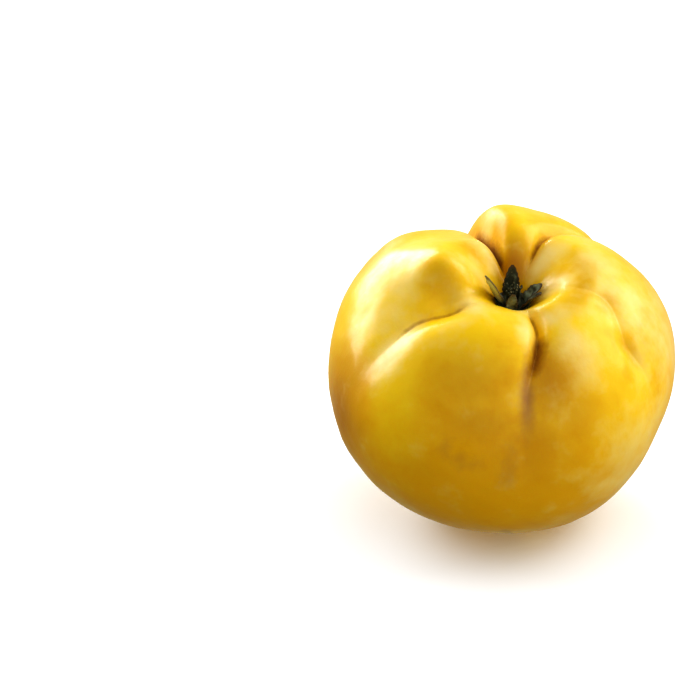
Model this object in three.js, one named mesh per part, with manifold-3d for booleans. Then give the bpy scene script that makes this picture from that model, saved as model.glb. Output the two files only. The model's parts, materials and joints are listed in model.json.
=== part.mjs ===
// A ripe quince standing on a small flat spot, with its dried calyx up in a deep basin, a tuft of
// dried stamens inside the calyx, and a short woody stem in the hollow underneath.
// Millimetres, +Z up. The origin is on the ground, in the flat spot, straight below the core.
import * as THREE from 'three';
import { mergeVertices } from 'three/addons/utils/BufferGeometryUtils.js';
import Module from 'manifold-3d';

const wasm = await Module();
wasm.setup();

// ---- Stance: the fruit leans, so its calyx looks up and towards -Y, a little to +X ----
const LEAN_FORWARD = 18;
const LEAN_SIDE = 6.5;
const CORE_HEIGHT = 41.3;

// ---- Body: radius from the core, by polar angle from the calyx (degrees, millimetres) ----
const EQUATOR_RADIUS = 49.5;
const CROWN_HEIGHT = 39.5;
const BASE_HEIGHT = 41.5;
const FULLNESS = 2.2;
const LOPSIDED = { side: -0.4, away: -1.0 };

// ---- Basin round the calyx, wider on the far side, and the stem's hollow underneath ----
const BASIN = { depth: 17.5, width: 19.5, widerAway: 2.5, power: 3.4 };
const HOLLOW = { depth: 7.0, width: 10.0, power: 3.5 };

// ---- Furrows between the five lobes, in order of bearing round the calyx ----
// Each is a broad valley with a narrow crease down its middle. Its bearing shifts by turn between
// the polar angles turnFrom and turnTo. before and after are the valley's half-widths in degrees,
// creaseWidth is in millimetres, and columns are the mesh columns up to the next furrow.
const FURROWS = [
  { bearing: -14, turn: -15, turnFrom: 34, turnTo: 52, valley: 1.3, before: 12, after: 18,
    crease: 0.5, creaseWidth: 2.5, from: 18, to: 66, columns: 20 },
  { bearing: 69, turn: -22, turnFrom: 30, turnTo: 60, valley: 2.8, before: 14, after: 12,
    crease: 3.0, creaseWidth: 2.0, from: 13, to: 70, columns: 13 },
  { bearing: 105, turn: 3, turnFrom: 12, turnTo: 36, valley: 6.0, before: 4.2, after: 12,
    crease: 4.0, creaseWidth: 2.0, from: 13, to: 72, columns: 26 },
  { bearing: 226, turn: -17, turnFrom: 22, turnTo: 50, valley: 5.8, before: 24, after: 12,
    crease: 0.6, creaseWidth: 1.5, from: 17, to: 44, columns: 17 },
  { bearing: 290, turn: -14, turnFrom: 24, turnTo: 60, valley: 3.4, before: 14, after: 13,
    crease: 3.8, creaseWidth: 2.0, from: 13, to: 50, columns: 14 },
];
const VALLEY_RISE = 20;
const VALLEY_FALL = 50;
const VALLEY_BEYOND = 25;
const VALLEY_ROUNDING = 3;
const CREASE_RISE = 14;
const CREASE_FALL = 30;
const CREASE_ROUNDING = 0.3;
const ARC_RADIUS = 46;

// ---- Swells and flats: height over the plain body, centred at a polar angle and a bearing ----
const SWELLS = [
  { polar: 46, bearing: 127, height: -4.5, polarWidth: 22, bearingWidth: 18 },
  { polar: 65, bearing: 135, height: 1.3, polarWidth: 16, bearingWidth: 10 },
  { polar: 27, bearing: 181, height: 2.35, polarWidth: 11, bearingWidth: 9.8 },
  { polar: 30, bearing: 203, height: -4.2, polarWidth: 10, bearingWidth: 6.5 },
  { polar: 80, bearing: 185, height: -2.2, polarWidth: 30, bearingWidth: 30 },
  { polar: 59, bearing: 102, height: 2.0, polarWidth: 24, bearingWidth: 12.7 },
  { polar: 44, bearing: 6, height: 0.5, polarWidth: 22, bearingWidth: 26 },
  { polar: 25.5, bearing: 5, height: -0.8, polarWidth: 3.5, bearingWidth: 25 },
  { polar: 55, bearing: 329, height: -0.9, polarWidth: 6, bearingWidth: 3 },
  { polar: 21, bearing: 273, height: -2.5, polarWidth: 10, bearingWidth: 12 },
  { polar: 20, bearing: 222, height: -3.0, polarWidth: 6, bearingWidth: 9 },
  { polar: 23, bearing: 268, height: -1.7, polarWidth: 7, bearingWidth: 16 },
  { polar: 110, bearing: 345, height: -3.6, polarWidth: 30, bearingWidth: 30 },
  { polar: 120, bearing: 200, height: -1.0, polarWidth: 30, bearingWidth: 30 },
  { polar: 125, bearing: 270, height: -2.4, polarWidth: 30, bearingWidth: 40 },
];

// ---- Mesh of the body: columns gather towards the furrows, rings are closer on the crown ----
const GATHER = 0.6;
const CROWN_RINGS = { to: 72, count: 27 };
const FLANK_RINGS = { to: 152, count: 13 };
const HOLLOW_RINGS = { to: 180, count: 8 };

// ---- Calyx: a shallow cup on the basin's floor, with five dried sepals round its edge ----
const TOUCH_GAP = 0.35;
const CUP = { edge: 11, thickness: 1.3, edgeThickness: 0.7, rings: 5, columns: 30 };
const SEPAL_ROOT = { polar: 9.6, sink: 0.7 };
const SEPAL_THICKNESS = { middle: 0.8, root: 1.15, tip: 0.75 };
const SEPAL_FORM = { rootSpan: 0.24, tipSpan: 0.96, lean: 0.85, fullness: 0.75 };
const SEPAL_MESH = { across: 4, up: 12 };
const SEPALS = [
  { bearing: 98, twist: 0, length: 9.4, width: 4.6, lean: 13, curl: 4, cupping: 0.5 },
  { bearing: 185, twist: 40, length: 15, width: 4.2, lean: 26, curl: 5, cupping: 0.5 },
  { bearing: 264, twist: 0, length: 6.2, width: 3.2, lean: 2, curl: -8, cupping: 0.5 },
  { bearing: 332, twist: 0, length: 8.4, width: 4.0, lean: 20, curl: 24, cupping: 0.6 },
  { bearing: 16, twist: 0, length: 7.3, width: 4.2, lean: 26, curl: 24, cupping: 0.6 },
];

// ---- Stamens: dried threads and five styles standing on a low dome inside the cup ----
const DOME = { edge: 5.4, height: 1.5, edgeThickness: 0.7, rings: 4, columns: 18 };
const THREADS = { count: 14, ringRadius: 1.3, length: 5.0, root: 0.38, tip: 0.44, spread: 9 };
const STYLES = { count: 5, ringRadius: 0.55, length: 4.6, root: 0.42, tip: 0.34, spread: 6 };
const THREAD_MESH = { sides: 5, up: 3 };
const THREAD_SINK = 0.6;
// Largest shares by which a thread's place, lean and length vary, and its bend in millimetres.
const THREAD_CHANCE = { place: 0.25, leanLeast: 0.4, lean: 0.6, length: 0.18, bend: 0.5 };
const SEED = 7;

// ---- Stem: a short woody stub with a flared scar at its end ----
const STEM = { length: 4.6, clearance: 0.6, bend: 0.5, sides: 20 };
// Its outline from the foot to the scar: radius, and distance down.
const STEM_OUTLINE = [[2.5, 0], [2.5, 0.5], [2.1, 1.5], [2.0, 2.8], [2.7, 4.0], [2.5, 4.6]];
const STEM_SCAR_HOLLOW = 0.25;

const SKIN_COLOUR = 0xe8bd1c;
const SEPAL_COLOUR = 0x5d6138;
const STAMEN_COLOUR = 0x2b2416;
const STEM_COLOUR = 0x6e4a2c;

const radians = THREE.MathUtils.degToRad;
const WELD = 1e-4;

function smooth(share) {
  const t = Math.min(Math.max(share, 0), 1);
  return t * t * (3 - 2 * t);
}

// 0 outside the stretch, 1 well inside it.
function stretch(polar, from, to, rise, fall) {
  return smooth((polar - from) / rise) * smooth((to + fall / 2 - polar) / fall);
}

// The shorter way round from one bearing to the other, -180 to 180.
function turnBetween(bearing, other) {
  return ((((bearing - other + 180) % 360) + 360) % 360) - 180;
}

// 1 at 0 and falling as exp(-distance / width), with its peak rounded off.
function softPeak(distance, width, rounding) {
  return Math.exp(-(Math.hypot(distance, rounding) - rounding) / width);
}

function furrowBearing(furrow, polar) {
  const share = (polar - furrow.turnFrom) / (furrow.turnTo - furrow.turnFrom);
  return furrow.bearing + furrow.turn * smooth(share);
}

function furrowDepth(furrow, polar, bearing) {
  const off = turnBetween(bearing, furrowBearing(furrow, polar));
  const arc = radians(off) * Math.sin(radians(polar)) * ARC_RADIUS;
  const halfWidth = off < 0 ? furrow.before : furrow.after;
  const valleyReach = stretch(polar, furrow.from, furrow.to + VALLEY_BEYOND, VALLEY_RISE, VALLEY_FALL);
  const creaseReach = stretch(polar, furrow.from, furrow.to, CREASE_RISE, CREASE_FALL);
  return furrow.valley * valleyReach * softPeak(off, halfWidth, VALLEY_ROUNDING)
    + furrow.crease * creaseReach * softPeak(arc, furrow.creaseWidth, CREASE_ROUNDING);
}

function swellHeight(swell, polar, bearing) {
  const up = (polar - swell.polar) / swell.polarWidth;
  const round = turnBetween(bearing, swell.bearing) * Math.sin(radians(swell.polar)) / swell.bearingWidth;
  return swell.height * Math.exp(-up * up - round * round);
}

// Distance from the core to the skin.
function skinRadius(polar, bearing) {
  const sine = Math.sin(radians(polar));
  const cosine = Math.cos(radians(polar));
  const side = Math.cos(radians(bearing));
  const away = Math.sin(radians(bearing));
  const height = polar < 90 ? CROWN_HEIGHT : BASE_HEIGHT;
  const across = (sine / EQUATOR_RADIUS) ** FULLNESS;
  const along = (Math.abs(cosine) / height) ** FULLNESS;
  const basinWidth = BASIN.width + BASIN.widerAway * away;
  let radius = (across + along) ** (-1 / FULLNESS);
  radius += sine * (LOPSIDED.side * side + LOPSIDED.away * away);
  radius -= BASIN.depth * Math.exp(-((polar / basinWidth) ** BASIN.power));
  radius -= HOLLOW.depth * Math.exp(-(((180 - polar) / HOLLOW.width) ** HOLLOW.power));
  for (const furrow of FURROWS) {
    radius -= furrowDepth(furrow, polar, bearing);
  }
  for (const swell of SWELLS) {
    radius += swellHeight(swell, polar, bearing);
  }
  return radius;
}

// A point in the fruit's own frame: core at 0, calyx along +Z.
function polarPoint(radius, polar, bearing) {
  const reach = radius * Math.sin(radians(polar));
  return new THREE.Vector3(
    reach * Math.cos(radians(bearing)),
    reach * Math.sin(radians(bearing)),
    radius * Math.cos(radians(polar)),
  );
}

// The fruit's frame in the world.
function stance() {
  const axis = new THREE.Vector3(Math.sin(radians(LEAN_SIDE)), -Math.sin(radians(LEAN_FORWARD)), 0);
  axis.z = Math.sqrt(1 - axis.lengthSq());
  const side = new THREE.Vector3(1, 0, 0).addScaledVector(axis, -axis.x).normalize();
  const away = new THREE.Vector3().crossVectors(axis, side);
  return new THREE.Matrix4().makeBasis(side, away, axis).setPosition(0, 0, CORE_HEIGHT);
}

// A closed body of rings: pointAt(row, column), with the first and the last row drawn to a point.
function ringedGeometry(rows, columns, pointAt) {
  const positions = [];
  const index = [];
  const vertexAt = (row, column) => {
    if (row === 0) {
      return 0;
    }
    if (row === rows - 1) {
      return 1 + (rows - 2) * columns;
    }
    return 1 + (row - 1) * columns + (column % columns);
  };
  positions.push(...pointAt(0, 0).toArray());
  for (let row = 1; row < rows - 1; row += 1) {
    for (let column = 0; column < columns; column += 1) {
      positions.push(...pointAt(row, column).toArray());
    }
  }
  positions.push(...pointAt(rows - 1, 0).toArray());
  for (let row = 0; row < rows - 1; row += 1) {
    for (let column = 0; column < columns; column += 1) {
      const near = vertexAt(row, column);
      const nearNext = vertexAt(row, column + 1);
      const far = vertexAt(row + 1, column);
      const farNext = vertexAt(row + 1, column + 1);
      if (row > 0) {
        index.push(near, farNext, nearNext);
      }
      if (row < rows - 2) {
        index.push(near, far, farNext);
      }
    }
  }
  return indexedGeometry(positions, index);
}

function indexedGeometry(positions, index) {
  const geometry = new THREE.BufferGeometry();
  geometry.setAttribute('position', new THREE.Float32BufferAttribute(positions, 3));
  geometry.setIndex(index);
  return geometry;
}

// A closed mesh, without the seams that normals and texture places keep, as a solid.
function toSolid(geometry) {
  const bare = geometry.clone();
  bare.deleteAttribute('normal');
  bare.deleteAttribute('uv');
  const merged = mergeVertices(bare, WELD);
  return new wasm.Manifold(new wasm.Mesh({
    numProp: 3,
    vertProperties: new Float32Array(merged.attributes.position.array),
    triVerts: new Uint32Array(merged.index.array),
  }));
}

function fused(geometries) {
  const solid = geometries.map(toSolid).reduce((whole, piece) => whole.add(piece));
  const mesh = solid.getMesh();
  return indexedGeometry(Array.from(mesh.vertProperties), Array.from(mesh.triVerts));
}

function named(name, geometry, colour, roughness) {
  geometry.computeVertexNormals();
  const material = new THREE.MeshStandardMaterial({ color: colour, roughness, metalness: 0 });
  const mesh = new THREE.Mesh(geometry, material);
  mesh.name = name;
  return mesh;
}

// Seeded draws between -1 and 1.
function drawer(seed) {
  let state = seed;
  return () => {
    state = (state * 16807) % 2147483647;
    return 2 * (state / 2147483647) - 1;
  };
}

// ---- Fruit ----

function ringAngles() {
  const angles = [0];
  for (const band of [CROWN_RINGS, FLANK_RINGS, HOLLOW_RINGS]) {
    const from = angles[angles.length - 1];
    for (let ring = 1; ring <= band.count; ring += 1) {
      angles.push(from + (band.to - from) * ring / band.count);
    }
  }
  return angles;
}

// Columns run along the furrows, and between two furrows they gather towards both.
function columnBearing(column, polar) {
  let place = column;
  let lobe = 0;
  while (place >= FURROWS[lobe].columns) {
    place -= FURROWS[lobe].columns;
    lobe += 1;
  }
  const next = (lobe + 1) % FURROWS.length;
  const from = furrowBearing(FURROWS[lobe], polar);
  const to = furrowBearing(FURROWS[next], polar) + (next === 0 ? 360 : 0);
  const share = place / FURROWS[lobe].columns;
  const gathered = share - GATHER * Math.sin(2 * Math.PI * share) / (2 * Math.PI);
  return from + (to - from) * gathered;
}

function fruit() {
  const angles = ringAngles();
  const columns = FURROWS.reduce((sum, furrow) => sum + furrow.columns, 0);
  const place = stance();
  const geometry = ringedGeometry(angles.length, columns, (row, column) => {
    const polar = angles[row];
    const bearing = columnBearing(column, polar);
    const point = polarPoint(skinRadius(polar, bearing), polar, bearing).applyMatrix4(place);
    point.z = Math.max(point.z, 0);
    return point;
  });
  return named('fruit', geometry, SKIN_COLOUR, 0.35);
}

// ---- Calyx ----

// A thin cap lying on the basin's floor, out to a polar angle. below and above are the heights
// of its underside and of its top over the floor, in the middle; the top thins out at the edge.
function capGeometry({ edge, rings, columns, edgeThickness }, below, above) {
  const rows = 2 * rings + 2;
  return ringedGeometry(rows, columns, (row, column) => {
    const onTop = row <= rings;
    const share = onTop ? row / rings : (rows - 1 - row) / rings;
    const polar = edge * share;
    const bearing = 360 * column / columns;
    const thickness = edgeThickness + (above - below - edgeThickness) * (1 - share * share);
    const height = onTop ? below + thickness : below;
    return polarPoint(skinRadius(polar, bearing) + height, polar, bearing);
  });
}

// A pointed leaf standing on its root: widest a third of the way up, cupped across, and bent
// over along its length from lean to lean + curl. It faces twist degrees round from its bearing.
function sepalGeometry({ bearing, twist, length, width, lean, curl, cupping }) {
  const blade = new THREE.BoxGeometry(1, 1, 1, SEPAL_MESH.across, 1, SEPAL_MESH.up);
  const spot = blade.attributes.position;
  const root = polarPoint(skinRadius(SEPAL_ROOT.polar, bearing), SEPAL_ROOT.polar, bearing);
  const facing = radians(bearing + twist);
  const outward = new THREE.Vector3(Math.cos(facing), Math.sin(facing), 0);
  const across = new THREE.Vector3(-outward.y, outward.x, 0);
  const up = new THREE.Vector3(0, 0, 1);
  const { rootSpan, tipSpan } = SEPAL_FORM;
  for (let i = 0; i < spot.count; i += 1) {
    const share = spot.getZ(i) + 0.5;
    const bend = radians(lean + curl * share);
    const meanBend = radians(lean + curl * share / 2);
    const along = rootSpan + (tipSpan - rootSpan) * share ** SEPAL_FORM.lean;
    const form = Math.sin(Math.PI * along) ** SEPAL_FORM.fullness;
    const sideways = spot.getX(i) * width * form;
    const dish = cupping * (2 * spot.getX(i)) ** 2 * form;
    const taper = SEPAL_THICKNESS.root + (SEPAL_THICKNESS.tip - SEPAL_THICKNESS.root) * share;
    const thick = spot.getY(i) * SEPAL_THICKNESS.middle * taper + dish;
    const run = length * share - SEPAL_ROOT.sink;
    const point = root.clone();
    const rise = TOUCH_GAP + CUP.thickness + run * Math.cos(meanBend);
    point.addScaledVector(up, rise + thick * Math.sin(bend));
    point.addScaledVector(outward, run * Math.sin(meanBend) - thick * Math.cos(bend));
    point.addScaledVector(across, sideways);
    spot.setXYZ(i, point.x, point.y, point.z);
  }
  return blade;
}

function calyx() {
  const cup = capGeometry(CUP, TOUCH_GAP, TOUCH_GAP + CUP.thickness);
  return named('calyx', fused([cup, ...SEPALS.map(sepalGeometry)]), SEPAL_COLOUR, 0.8);
}

// ---- Stamens ----

// A tapered thread standing at a radius and bearing, leaning outwards, with a bend in it.
function threadGeometry(kind, bearing, lean, bend, length, floor) {
  const { sides, up } = THREAD_MESH;
  const thread = new THREE.CylinderGeometry(kind.tip, kind.root, length, sides, up);
  thread.rotateX(Math.PI / 2);
  thread.translate(0, 0, length / 2);
  const spot = thread.attributes.position;
  for (let i = 0; i < spot.count; i += 1) {
    const share = spot.getZ(i) / length;
    spot.setX(i, spot.getX(i) + bend * share * share);
  }
  thread.rotateY(radians(lean));
  thread.translate(kind.ringRadius, 0, floor);
  thread.rotateZ(radians(bearing));
  return thread;
}

function threads(kind, floor, draw) {
  const pieces = [];
  for (let i = 0; i < kind.count; i += 1) {
    const bearing = 360 * (i + THREAD_CHANCE.place * draw()) / kind.count;
    const lean = kind.spread * (THREAD_CHANCE.leanLeast + THREAD_CHANCE.lean * draw());
    const bend = THREAD_CHANCE.bend * draw();
    const length = kind.length * (1 + THREAD_CHANCE.length * draw());
    pieces.push(threadGeometry(kind, bearing, lean, bend, length, floor));
  }
  return pieces;
}

function stamens() {
  const below = 2 * TOUCH_GAP + CUP.thickness;
  const dome = capGeometry(DOME, below, below + DOME.height);
  const floor = skinRadius(0, 0) + below + DOME.height - THREAD_SINK;
  const draw = drawer(SEED);
  const tuft = [...threads(THREADS, floor, draw), ...threads(STYLES, floor, draw)];
  return named('stamens', fused([dome, ...tuft]), STAMEN_COLOUR, 0.9);
}

// ---- Stem ----

// A turned stub below the hollow's floor, with a soft foot, a waist and a flared scar.
function stem() {
  const start = skinRadius(180, 0) + STEM.clearance;
  const outline = [[0, 0], ...STEM_OUTLINE, [0, STEM.length - STEM_SCAR_HOLLOW]];
  const profile = outline.map(([radius, down]) => new THREE.Vector2(radius, down));
  const stub = new THREE.LatheGeometry(profile, STEM.sides);
  stub.rotateX(-Math.PI / 2);
  const spot = stub.attributes.position;
  for (let i = 0; i < spot.count; i += 1) {
    const share = -spot.getZ(i) / STEM.length;
    spot.setX(i, spot.getX(i) + STEM.bend * share * share);
  }
  stub.translate(0, 0, -start);
  return named('stem', fused([stub]), STEM_COLOUR, 0.85);
}

const upright = new THREE.Group();
upright.applyMatrix4(stance());
upright.add(calyx(), stamens(), stem());

const quince = new THREE.Group();
quince.add(fruit(), upright);

export default quince;
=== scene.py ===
# %% [markdown]
# # A ripe quince
# A quince is a hard golden fruit from a small orchard tree. This lesson dresses one that stands on
# its own underside, with the dried remains of its flower looking up out of a deep basin. The frame
# that it is built around holds four plain solids: the fruit, its calyx, its stamens and its stem.
# Every piece made here takes the place of one of those solids, on the same spot.

# %% The frame
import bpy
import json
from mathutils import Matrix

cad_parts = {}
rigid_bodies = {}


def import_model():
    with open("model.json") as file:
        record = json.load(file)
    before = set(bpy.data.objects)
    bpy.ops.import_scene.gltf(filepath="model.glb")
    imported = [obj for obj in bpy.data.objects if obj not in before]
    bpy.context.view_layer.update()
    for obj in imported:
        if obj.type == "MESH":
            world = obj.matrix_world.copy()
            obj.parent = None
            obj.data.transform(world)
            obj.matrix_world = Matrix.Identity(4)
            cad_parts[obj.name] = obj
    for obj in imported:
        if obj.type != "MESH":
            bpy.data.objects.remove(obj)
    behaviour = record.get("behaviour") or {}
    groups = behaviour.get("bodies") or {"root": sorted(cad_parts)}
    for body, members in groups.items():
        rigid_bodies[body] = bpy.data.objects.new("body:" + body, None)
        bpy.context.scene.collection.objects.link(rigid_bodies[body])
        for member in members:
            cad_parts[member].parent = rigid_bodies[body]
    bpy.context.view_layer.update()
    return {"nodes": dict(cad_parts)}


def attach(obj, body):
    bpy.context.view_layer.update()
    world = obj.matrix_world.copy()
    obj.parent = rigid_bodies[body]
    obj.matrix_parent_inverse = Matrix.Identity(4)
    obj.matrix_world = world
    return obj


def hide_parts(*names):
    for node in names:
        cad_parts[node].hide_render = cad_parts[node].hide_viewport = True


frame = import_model()
print("solids to dress:", sorted(frame["nodes"]))

# %% The libraries, and millimetres
import json
import math

import bmesh
import bpy
import numpy as np
from mathutils import Matrix, Vector, noise

MM = 0.001

# %% [markdown]
# ## How the fruit stands
# The fruit grew round a core, so its shape is told best from there: how far the skin is from the
# core in each direction. A direction is a polar angle, 0 at the calyx and 180 at the stem, and a
# bearing round that axis, both in degrees. The axis leans forward and a little to the right, as a
# fruit leans once it has rolled to a spot that is flat enough to rest on.

# %% The core and its axis
LEAN_FORWARD = 18
LEAN_SIDE = 6.5
CORE_HEIGHT = 41.3


def stance():
    """The fruit's own frame in the world: its core, with the calyx along Z, in millimetres."""
    axis = Vector((math.sin(math.radians(LEAN_SIDE)), -math.sin(math.radians(LEAN_FORWARD)), 0))
    axis.z = math.sqrt(1 - axis.length_squared)
    side = (Vector((1, 0, 0)) - axis * axis.x).normalized()
    away = axis.cross(side)
    return Matrix.Translation((0, 0, CORE_HEIGHT)) @ Matrix((side, away, axis)).transposed().to_4x4()


STANCE = stance()
print("the calyx looks along", [round(value, 2) for value in STANCE.col[2][:3]])

# %% [markdown]
# ## The form of the body
# A squat, full body is a rounded box turned round the axis. The basin and the stem's hollow are
# bell-shaped dips in it. Five furrows part the lobes, and each is two dips in one: a broad valley,
# and a narrow crease along its bottom. A few low swells and flats then take the fruit away from
# perfect symmetry. It could also be sculpted by hand, but a formula can be asked for any point of
# the skin, which the calyx and the stem need, because they grow from it.

# %% Sizes of the plain body, in millimetres and degrees
EQUATOR_RADIUS = 49.5
CROWN_HEIGHT = 39.5
BASE_HEIGHT = 41.5
FULLNESS = 2.2
LOPSIDED = dict(side=-0.4, away=-1.0)
BASIN = dict(depth=17.5, width=19.5, wider_away=2.5, power=3.4)
HOLLOW = dict(depth=7.0, width=10.0, power=3.5)
print("plain body:", 2 * EQUATOR_RADIUS, "wide,", CROWN_HEIGHT + BASE_HEIGHT, "high")

# %% The furrows, in order of bearing
# before and after are a valley's half-widths in degrees, crease_width is in millimetres, and
# columns is the share of the mesh's columns that the lobe after the furrow gets. A dip deepens over
# its rise and ends over its fall, in degrees, and a valley reaches some degrees beyond its crease.
FURROWS = (
    dict(bearing=-14, turn=-15, turn_from=34, turn_to=52, valley=1.3, before=12, after=18,
         crease=0.5, crease_width=2.5, start=18, end=66, columns=20),
    dict(bearing=69, turn=-22, turn_from=30, turn_to=60, valley=2.8, before=14, after=12,
         crease=3.0, crease_width=2.0, start=13, end=70, columns=13),
    dict(bearing=105, turn=3, turn_from=12, turn_to=36, valley=6.0, before=4.2, after=12,
         crease=4.0, crease_width=2.0, start=13, end=72, columns=26),
    dict(bearing=226, turn=-17, turn_from=22, turn_to=50, valley=5.8, before=24, after=12,
         crease=0.6, crease_width=1.5, start=17, end=44, columns=17),
    dict(bearing=290, turn=-14, turn_from=24, turn_to=60, valley=3.4, before=14, after=13,
         crease=3.8, crease_width=2.0, start=13, end=50, columns=14),
)
VALLEY = dict(rise=20, fall=50, beyond=25, rounding=3)
CREASE = dict(rise=14, fall=30, rounding=0.3)
ARC_RADIUS = 46
print(len(FURROWS), "furrows")

# %% The swells and flats
SWELLS = (
    dict(polar=46, bearing=127, height=-4.5, polar_width=22, bearing_width=18),
    dict(polar=65, bearing=135, height=1.3, polar_width=16, bearing_width=10),
    dict(polar=27, bearing=181, height=2.35, polar_width=11, bearing_width=9.8),
    dict(polar=30, bearing=203, height=-4.2, polar_width=10, bearing_width=6.5),
    dict(polar=80, bearing=185, height=-2.2, polar_width=30, bearing_width=30),
    dict(polar=59, bearing=102, height=2.0, polar_width=24, bearing_width=12.7),
    dict(polar=44, bearing=6, height=0.5, polar_width=22, bearing_width=26),
    dict(polar=25.5, bearing=5, height=-0.8, polar_width=3.5, bearing_width=25),
    dict(polar=55, bearing=329, height=-0.9, polar_width=6, bearing_width=3),
    dict(polar=21, bearing=273, height=-2.5, polar_width=10, bearing_width=12),
    dict(polar=20, bearing=222, height=-3.0, polar_width=6, bearing_width=9),
    dict(polar=23, bearing=268, height=-1.7, polar_width=7, bearing_width=16),
    dict(polar=110, bearing=345, height=-3.6, polar_width=30, bearing_width=30),
    dict(polar=120, bearing=200, height=-1.0, polar_width=30, bearing_width=30),
    dict(polar=125, bearing=270, height=-2.4, polar_width=30, bearing_width=40),
)
print(len(SWELLS), "swells and flats")


# %% Rounding and reach
def smooth(share):
    t = np.clip(share, 0, 1)
    return t * t * (3 - 2 * t)


def stretch(polar, start, end, rise, fall):
    """0 outside the stretch of polar angles, 1 well inside it."""
    return smooth((polar - start) / rise) * smooth((end + fall / 2 - polar) / fall)


def turn_between(bearing, other):
    """The shorter way round from the other bearing to this one, -180 to 180."""
    return (bearing - other + 180) % 360 - 180


def soft_peak(distance, width, rounding):
    return np.exp(-(np.hypot(distance, rounding) - rounding) / width)


# %% Furrows and swells at a spot
def furrow_bearing(furrow, polar):
    share = (polar - furrow["turn_from"]) / (furrow["turn_to"] - furrow["turn_from"])
    return furrow["bearing"] + furrow["turn"] * smooth(share)


def crease_distance(furrow, polar, bearing):
    """Millimetres along the skin from a furrow's crease, on a skin ARC_RADIUS from the core."""
    off = turn_between(bearing, furrow_bearing(furrow, polar))
    return np.radians(off) * np.sin(np.radians(polar)) * ARC_RADIUS


def valley_share(furrow, polar, bearing):
    off = turn_between(bearing, furrow_bearing(furrow, polar))
    half_width = np.where(off < 0, furrow["before"], furrow["after"])
    end = furrow["end"] + VALLEY["beyond"]
    reach = stretch(polar, furrow["start"], end, VALLEY["rise"], VALLEY["fall"])
    return reach * soft_peak(off, half_width, VALLEY["rounding"])


def crease_share(furrow, polar, bearing):
    distance = crease_distance(furrow, polar, bearing)
    reach = stretch(polar, furrow["start"], furrow["end"], CREASE["rise"], CREASE["fall"])
    return reach * soft_peak(distance, furrow["crease_width"], CREASE["rounding"])


def bell(spot, polar, bearing):
    """1 at a spot of the skin, falling off over its polar_width and bearing_width."""
    up = (polar - spot["polar"]) / spot["polar_width"]
    across = turn_between(bearing, spot["bearing"]) * math.sin(math.radians(spot["polar"]))
    return np.exp(-up * up - (across / spot["bearing_width"]) ** 2)


def hollow_share(polar):
    below = np.maximum(180 - polar, 0) / HOLLOW["width"]
    return np.exp(-(below ** HOLLOW["power"]))


# %% The formula of the skin
def skin_radius(polar, bearing):
    """Millimetres from the core to the skin, for numbers or for arrays of them."""
    sine, cosine = np.abs(np.sin(np.radians(polar))), np.abs(np.cos(np.radians(polar)))
    side, away = np.cos(np.radians(bearing)), np.sin(np.radians(bearing))
    height = np.where(np.less(polar, 90), CROWN_HEIGHT, BASE_HEIGHT)
    round_box = (sine / EQUATOR_RADIUS) ** FULLNESS + (cosine / height) ** FULLNESS
    radius = round_box ** (-1 / FULLNESS) + sine * (LOPSIDED["side"] * side + LOPSIDED["away"] * away)
    basin_width = BASIN["width"] + BASIN["wider_away"] * away
    radius = radius - BASIN["depth"] * np.exp(-((polar / basin_width) ** BASIN["power"]))
    radius = radius - HOLLOW["depth"] * hollow_share(polar)
    for furrow in FURROWS:
        radius = radius - furrow["valley"] * valley_share(furrow, polar, bearing)
        radius = radius - furrow["crease"] * crease_share(furrow, polar, bearing)
    for swell in SWELLS:
        radius = radius + swell["height"] * bell(swell, polar, bearing)
    return radius


print("the basin's floor is", round(float(skin_radius(0.0, 0.0)), 1), "mm above the core")


# %% From directions to points
def polar_points(radius, polar, bearing):
    """Points in the fruit's own frame, in millimetres."""
    reach = radius * np.sin(np.radians(polar))
    side, away = np.cos(np.radians(bearing)), np.sin(np.radians(bearing))
    return np.stack([reach * side, reach * away, radius * np.cos(np.radians(polar))], axis=-1)


def in_world(points):
    """From the fruit's frame in millimetres to the world in metres."""
    turn = np.array(STANCE.to_3x3())
    return (points @ turn.T + np.array(STANCE.translation)) * MM


# %% [markdown]
# ## The mesh of the skin
# A sphere of rings and columns can be pushed out to the formula, point by point. An even sphere
# would spend its faces on the smooth flanks. So its columns are drawn towards the furrows first,
# with one running along each crease, and its rings are drawn up to the crown. That keeps creases
# crisp while the whole fruit stays under two hundred thousand triangles.

# %% Where rings and columns go
# GATHER says how far the columns are drawn to the furrows, from 0, which is evenly, to 1. Each of
# RING_SHARES is the share of the rings above the polar angle in the same place of RING_POLARS.
COLUMNS, RINGS = 360, 250
GATHER = 0.6
RING_SHARES = (0, 0.55, 0.82, 1)
RING_POLARS = (0, 76, 150, 180)


def column_bearing(place, polar):
    """The bearing of a column, whose place is 0 to 1 round the fruit, at a polar angle."""
    columns = np.array([furrow["columns"] for furrow in FURROWS])
    starts = np.concatenate([[0], np.cumsum(columns)]) / columns.sum()
    bearing = np.zeros_like(place)
    for lobe, furrow in enumerate(FURROWS):
        following = FURROWS[(lobe + 1) % len(FURROWS)]
        lap = 360 if lobe + 1 == len(FURROWS) else 0
        first, last = furrow_bearing(furrow, polar), furrow_bearing(following, polar) + lap
        share = (place - starts[lobe]) / (starts[lobe + 1] - starts[lobe])
        gathered = share - GATHER * np.sin(2 * np.pi * share) / (2 * np.pi)
        here = (place >= starts[lobe]) & (place < starts[lobe + 1])
        bearing = np.where(here, first + (last - first) * gathered, bearing)
    return bearing


print(COLUMNS, "columns and", RINGS, "rings")

# %% Small unevenness of a grown skin
# Sizes and heights are in millimetres, except that a wrinkle's size is in radians of bearing, and
# its run is how many degrees of polar angle count as one such radian.
LUMPS = dict(size=13.0, height=0.30)
DIMPLES = dict(size=4.0, height=0.08)
WRINKLES = dict(size=0.2, run=150, height=0.16, polar=19, polar_width=8)


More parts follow.
